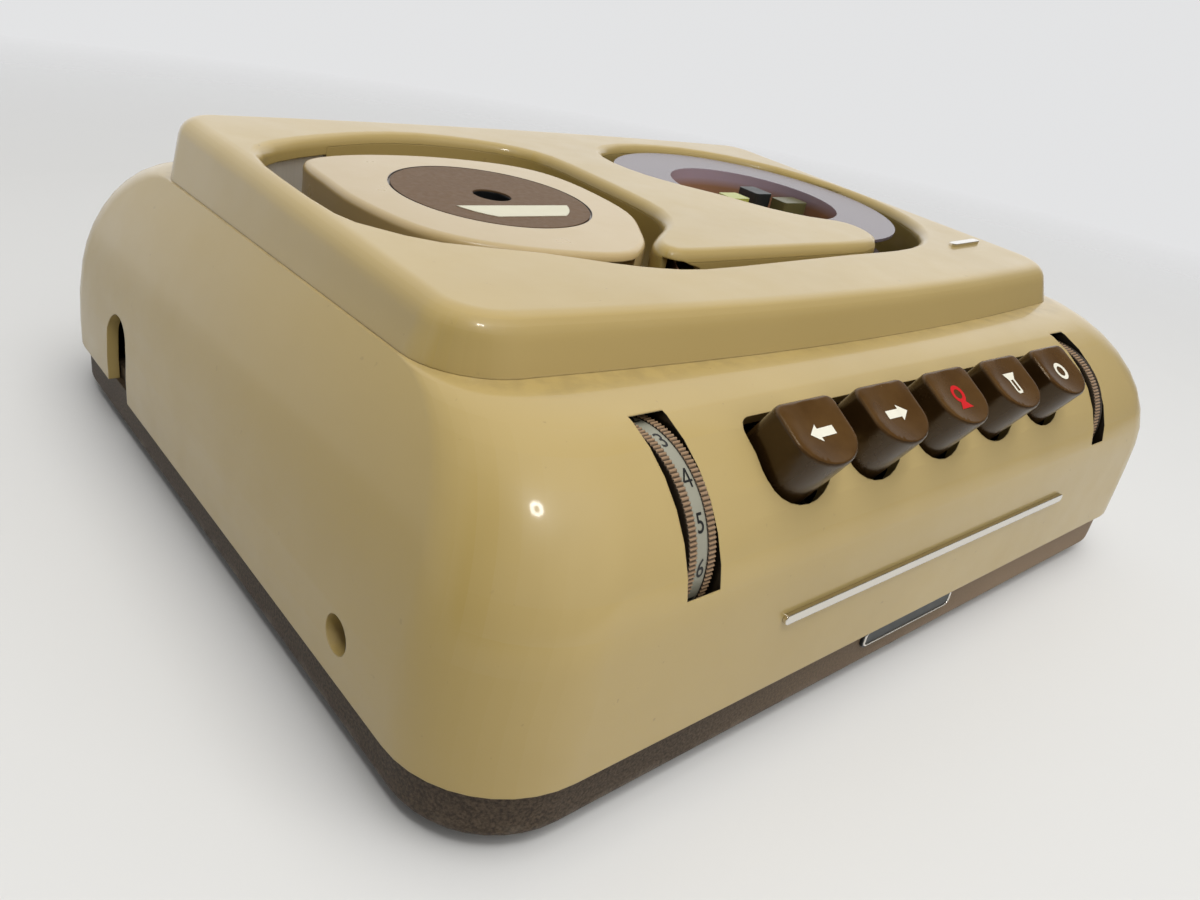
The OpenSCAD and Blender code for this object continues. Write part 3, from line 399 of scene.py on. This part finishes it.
# Every node gets its finish, smooth curved faces and sharp edges
WELD_GAP = 0.004 * MM
SHARP_ANGLE = math.radians(28)
FACE_WEIGHT = 80
for part in frame["record"]["subparts"]:
    node = nodes[part["node"]]
    node.data.materials.clear()
    node.data.materials.append(OWN_FINISH.get(part["node"], FINISH[part["material_slot"]]))
    normals = node.data.attributes.get("custom_normal")
    if normals is not None:
        node.data.attributes.remove(normals)
    node.data.polygons.foreach_set("use_smooth", [True] * len(node.data.polygons))
    weld = node.modifiers.new("weld", "WELD")
    weld.merge_threshold = WELD_GAP
    split = node.modifiers.new("split", "EDGE_SPLIT")
    split.split_angle = SHARP_ANGLE
    even = node.modifiers.new("even", "WEIGHTED_NORMAL")
    even.keep_sharp = True
    even.weight = FACE_WEIGHT


# Small pieces that lie on the parts

def add_piece(name, mesh, material, body):
    """Puts a mesh into the scene as a piece that moves with a body."""
    mesh.materials.clear()
    mesh.materials.append(material)
    obj = bpy.data.objects.new(name, mesh)
    scene.collection.objects.link(obj)
    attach(obj, body)
    return obj


def flat_mesh(name, outlines, place, material, body):
    """A flat piece from outlines in millimetres; place maps x, y to a point in metres."""
    points = []
    faces = []
    for outline in outlines:
        first = len(points)
        points += [place(x, y) for x, y in outline]
        faces.append(list(range(first, first + len(outline))))
    mesh = bpy.data.meshes.new(name)
    mesh.from_pydata(points, [], faces)
    mesh.validate()
    return add_piece(name, mesh, material, body)


def strip(points, width):
    """Quads along a line of points, for a drawn stroke."""
    quads = []
    for (ax, ay), (bx, by) in zip(points, points[1:]):
        length = math.hypot(bx - ax, by - ay)
        nx, ny = -(by - ay) / length * width / 2, (bx - ax) / length * width / 2
        quads.append([(ax + nx, ay + ny), (ax - nx, ay - ny), (bx - nx, by - ny), (bx + nx, by + ny)])
    return quads


def ring(cy, r, width, count=32):
    """Quads round a circle on the y axis, for a drawn ring."""
    inner, outer = r - width / 2, r + width / 2
    quads = []
    for i in range(count):
        a, b = 2 * math.pi * i / count, 2 * math.pi * (i + 1) / count
        ends = ((outer, a), (outer, b), (inner, b), (inner, a))
        quads.append([(reach * math.cos(turn), cy + reach * math.sin(turn)) for reach, turn in ends])
    return quads


def arrow(sign):
    """An arrow to the right for 1, to the left for -1."""
    shaft = [(-3.6, -0.95), (1.0, -0.95), (1.0, 0.95), (-3.6, 0.95)]
    head = [(0.9, -1.9), (3.6, 0.0), (0.9, 1.9)]
    outlines = [[(sign * x, y) for x, y in part] for part in (shaft, head)]
    return outlines if sign > 0 else [part[::-1] for part in outlines]


# Signs on the dished faces of the keys
SIGN_LIFT = 0.05


def key_place(x0):
    turn = Matrix.Translation(Vector((x0, KEY_Y, KEY_Z)) * MM) @ Matrix.Rotation(KEY_SLOPE, 4, "X")

    def place(x, y):
        z = DISH_R - DISH - math.sqrt(DISH_R ** 2 - x * x - y * y) + SIGN_LIFT
        return turn @ (Vector((x, y, z)) * MM)
    return place


MICROPHONE = ring(0.8, 1.75, 1.0) + [[(-0.7, -1.0), (-2.3, -3.0), (2.3, -3.0), (0.7, -1.0)]]
HORN = [[(-2.6, 2.8), (-1.2, 0.9), (1.2, 0.9), (2.6, 2.8)]]
HORN += strip([(-0.9, 0.9), (-0.9, -2.6), (0.9, -2.6), (0.9, 0.9)], 0.7)
SYMBOLS = {
    "rewind_key": (arrow(-1), WHITE_INK),
    "forward_key": (arrow(1), WHITE_INK),
    "record_key": (MICROPHONE, RED_INK),
    "speaker_key": (HORN, WHITE_INK),
    "stop_key": (ring(0, 2.0, 1.05), WHITE_INK),
}
for key, (outlines, ink) in SYMBOLS.items():
    sign_piece = flat_mesh(key + "_sign", outlines, key_place(KEY_XS[key]), ink, key)

# Plain numbers round the band of the left thumbwheel: angles in degrees, sizes in millimetres
FRONT_NUMBER = 6
FRONT_ANGLE = 5
NUMBER_STEP = 23.6
NUMBER_SIZE = 5.2
NUMBER_BOLD = 0.02
NUMBER_LIFT = 0.06
NARROWED = 0.75
FOUR = strip([(0.45, 1.8 - 0.4 * i) for i in range(10)], 0.4)
FOUR += strip([(0.45 - 0.24 * i, 1.8 - 0.4 * i) for i in range(7)], 0.36)
FOUR += strip([(-1.0, -0.6), (1.05, -0.6)], 0.4)


def band_place(angle):
    def place(x, y):
        a = angle + y / BAND_R
        r = BAND_R + NUMBER_LIFT
        return Vector((WHEEL_X + x, WHEEL_Y - r * math.cos(a), WHEEL_Z + r * math.sin(a))) * MM
    return place


def number_mesh(number, place):
    """A number in the built-in font, narrowed and bent round the band."""
    name = "number_%d" % number
    curve = bpy.data.curves.new(name, "FONT")
    curve.body = str(number)
    curve.size = NUMBER_SIZE * MM
    curve.offset = NUMBER_BOLD * MM
    curve.align_x = "CENTER"
    curve.align_y = "CENTER"
    text = bpy.data.objects.new(name, curve)
    scene.collection.objects.link(text)
    bpy.context.view_layer.update()
    mesh = bpy.data.meshes.new_from_object(text.evaluated_get(bpy.context.evaluated_depsgraph_get()))
    bpy.data.objects.remove(text)
    for v in mesh.vertices:
        v.co = place(v.co.x * NARROWED / MM, v.co.y / MM)
    return mesh


for number in range(1, 11):
    name = "band_number_%d" % number
    on_band = band_place(math.radians(FRONT_ANGLE + NUMBER_STEP * (FRONT_NUMBER - number)))
    # The 4 is drawn with strokes, so that its small opening stays clear
    if number == 4:
        digit = flat_mesh(name, FOUR, on_band, BLACK_INK, "volume")
    else:
        digit = add_piece(name, number_mesh(number, on_band), BLACK_INK, "volume")

# Bright border of the blank plate on the base
low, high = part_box("plate_blank")
corner, inset = 1.2 * MM, 0.6 * MM
corner_steps = 5
outline = []
for sx, sz, start in ((1, -1, -90), (1, 1, 0), (-1, 1, 90), (-1, -1, 180)):
    cx = (high.x if sx > 0 else low.x) - sx * (inset + corner)
    cz = (high.z if sz > 0 else low.z) - sz * (inset + corner)
    for k in range(corner_steps + 1):
        a = math.radians(start + 90 / corner_steps * k)
        outline.append((cx + corner * math.cos(a), low.y, cz + corner * math.sin(a)))
border = bpy.data.curves.new("plate_border", "CURVE")
border.dimensions = "3D"
border.bevel_depth = 0.3 * MM
line = border.splines.new("POLY")
line.use_cyclic_u = True
line.points.add(len(outline) - 1)
for point, spot in zip(line.points, outline):
    point.co = spot + (1.0,)
border_obj = bpy.data.objects.new("plate_border", border)
scene.collection.objects.link(border_obj)
border.materials.append(FINISH["bright_trim"])
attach(border_obj, "chassis")


# Floor, light and camera, in metres

# The floor fades into the wall behind it between two distances from the middle
FLOOR = 6
FADE_FROM, FADE_TO = 0.38, 0.95
floor_mesh = bpy.data.meshes.new("floor")
floor_corners = [(-FLOOR, -FLOOR, 0), (FLOOR, -FLOOR, 0), (FLOOR, FLOOR, 0), (-FLOOR, FLOOR, 0)]
floor_mesh.from_pydata(floor_corners, [], [(0, 1, 2, 3)])
floor = bpy.data.objects.new("floor", floor_mesh)
scene.collection.objects.link(floor)
floor_look = Nodes("floor")
floor_look.set("Base Color", floor_look.mix(floor_look.noise(8), (0.652, 0.647, 0.63), (0.667, 0.662, 0.645)))
floor_look.set("Roughness", 0.6)
reach = floor_look.add("ShaderNodeVectorMath", operation="LENGTH")
floor_look.link(floor_look.coordinates(), reach.inputs[0])
floor_look.set("Alpha", floor_look.fade(reach.outputs["Value"], FADE_FROM, FADE_TO))
floor_mesh.materials.append(floor_look.material)

world = bpy.data.worlds.new("world")
scene.world = world
world.use_nodes = True
sky = world.node_tree
toward = sky.nodes.new("ShaderNodeTexCoord")
direction = sky.nodes.new("ShaderNodeSeparateXYZ")
sky.links.new(toward.outputs["Generated"], direction.inputs["Vector"])
rays = sky.nodes.new("ShaderNodeLightPath")


def sky_range(axis, low, high, a, b):
    """A brightness that goes softly from a to b along an axis of the direction."""
    node = sky.nodes.new("ShaderNodeMapRange")
    node.interpolation_type = "SMOOTHSTEP"
    node.inputs["From Min"].default_value = low
    node.inputs["From Max"].default_value = high
    node.inputs["To Min"].default_value = a
    node.inputs["To Max"].default_value = b
    sky.links.new(direction.outputs[axis], node.inputs["Value"])
    return node.outputs["Result"]


def sky_light(strength):
    node = sky.nodes.new("ShaderNodeBackground")
    node.inputs["Color"].default_value = (0.985, 0.99, 1.0, 1.0)
    if isinstance(strength, float):
        node.inputs["Strength"].default_value = strength
    else:
        sky.links.new(strength, node.inputs["Strength"])
    return node.outputs["Background"]


def sky_mix(ray, a, b):
    """Light b for one kind of ray, light a for the others."""
    node = sky.nodes.new("ShaderNodeMixShader")
    sky.links.new(rays.outputs[ray], node.inputs["Fac"])
    sky.links.new(a, node.inputs[1])
    sky.links.new(b, node.inputs[2])
    return node.outputs["Shader"]


# A pale room: bright behind the object, dimmer to the left and in front, and an even wall to the camera
dimmed = sky.nodes.new("ShaderNodeMath")
dimmed.operation = "MULTIPLY"
sky.links.new(sky_range("Y", -0.3, 0.4, 0.48, 0.55), dimmed.inputs[0])
sky.links.new(sky_range("X", -0.8, 0.2, 0.42, 1.0), dimmed.inputs[1])
lit = sky_light(dimmed.outputs["Value"])
mirrored = sky_light(sky_range("Y", -0.1, 0.35, 0.1, 1.1))
room = sky_mix("Is Camera Ray", sky_mix("Is Glossy Ray", lit, mirrored), sky_light(0.78))
sky.links.new(room, sky.nodes["World Output"].inputs["Surface"])


def area(name, place, aim, size, power, shape="SQUARE"):
    lamp = bpy.data.lights.new(name, "AREA")
    lamp.shape = shape
    lamp.size = size
    lamp.energy = power
    obj = bpy.data.objects.new(name, lamp)
    scene.collection.objects.link(obj)
    obj.location = place
    obj.rotation_euler = (Vector(aim) - Vector(place)).to_track_quat("-Z", "Y").to_euler()
    return obj


# Two large soft lamps that leave no reflection
ceiling = area("ceiling", (0.0, -0.45, 1.5), aim=(0, 0, 0.05), size=1.2, power=17)
ceiling.visible_glossy = False
front = area("front", (0.3, -1.7, 1.3), aim=(0, 0, 0.06), size=1.8, power=11.5)
front.visible_glossy = False

# A ring lamp above the camera, made of small round lamps
RING_AT = Vector((-0.31, -0.353, 0.74))
RING_AIM = Vector((-0.1, -0.08, 0.06))
RING_R = 0.038
RING_LAMPS = 10
ring_turn = (RING_AIM - RING_AT).to_track_quat("-Z", "Y")
for i in range(RING_LAMPS):
    a = 2 * math.pi * i / RING_LAMPS
    spot = RING_AT + ring_turn @ Vector((RING_R * math.cos(a), RING_R * math.sin(a), 0))
    aim = spot + ring_turn @ Vector((0, 0, -1))
    area("ring_%d" % i, spot, aim, size=0.026, power=0.09, shape="DISK")

# The camera fitted to the photograph: its place, and the picture's right, down and ahead
EYE = (-0.19506, -0.19744, 0.1368)
RIGHT = Vector((0.75828, -0.62995, 0.16785))
DOWN = Vector((-0.16770, -0.43729, -0.88355))
AHEAD = Vector((0.62999, 0.64183, -0.43723))
camera = bpy.data.cameras.new("camera")
camera.lens = 27.7046
camera.sensor_width = 36
camera.clip_start = 0.01
view = bpy.data.objects.new("camera", camera)
scene.collection.objects.link(view)
camera_turn = Matrix((RIGHT, -DOWN, -AHEAD)).transposed().to_4x4()
view.matrix_world = Matrix.Translation(EYE) @ camera_turn
scene.camera = view
scene.view_settings.view_transform = "Standard"

bpy.context.view_layer.update()
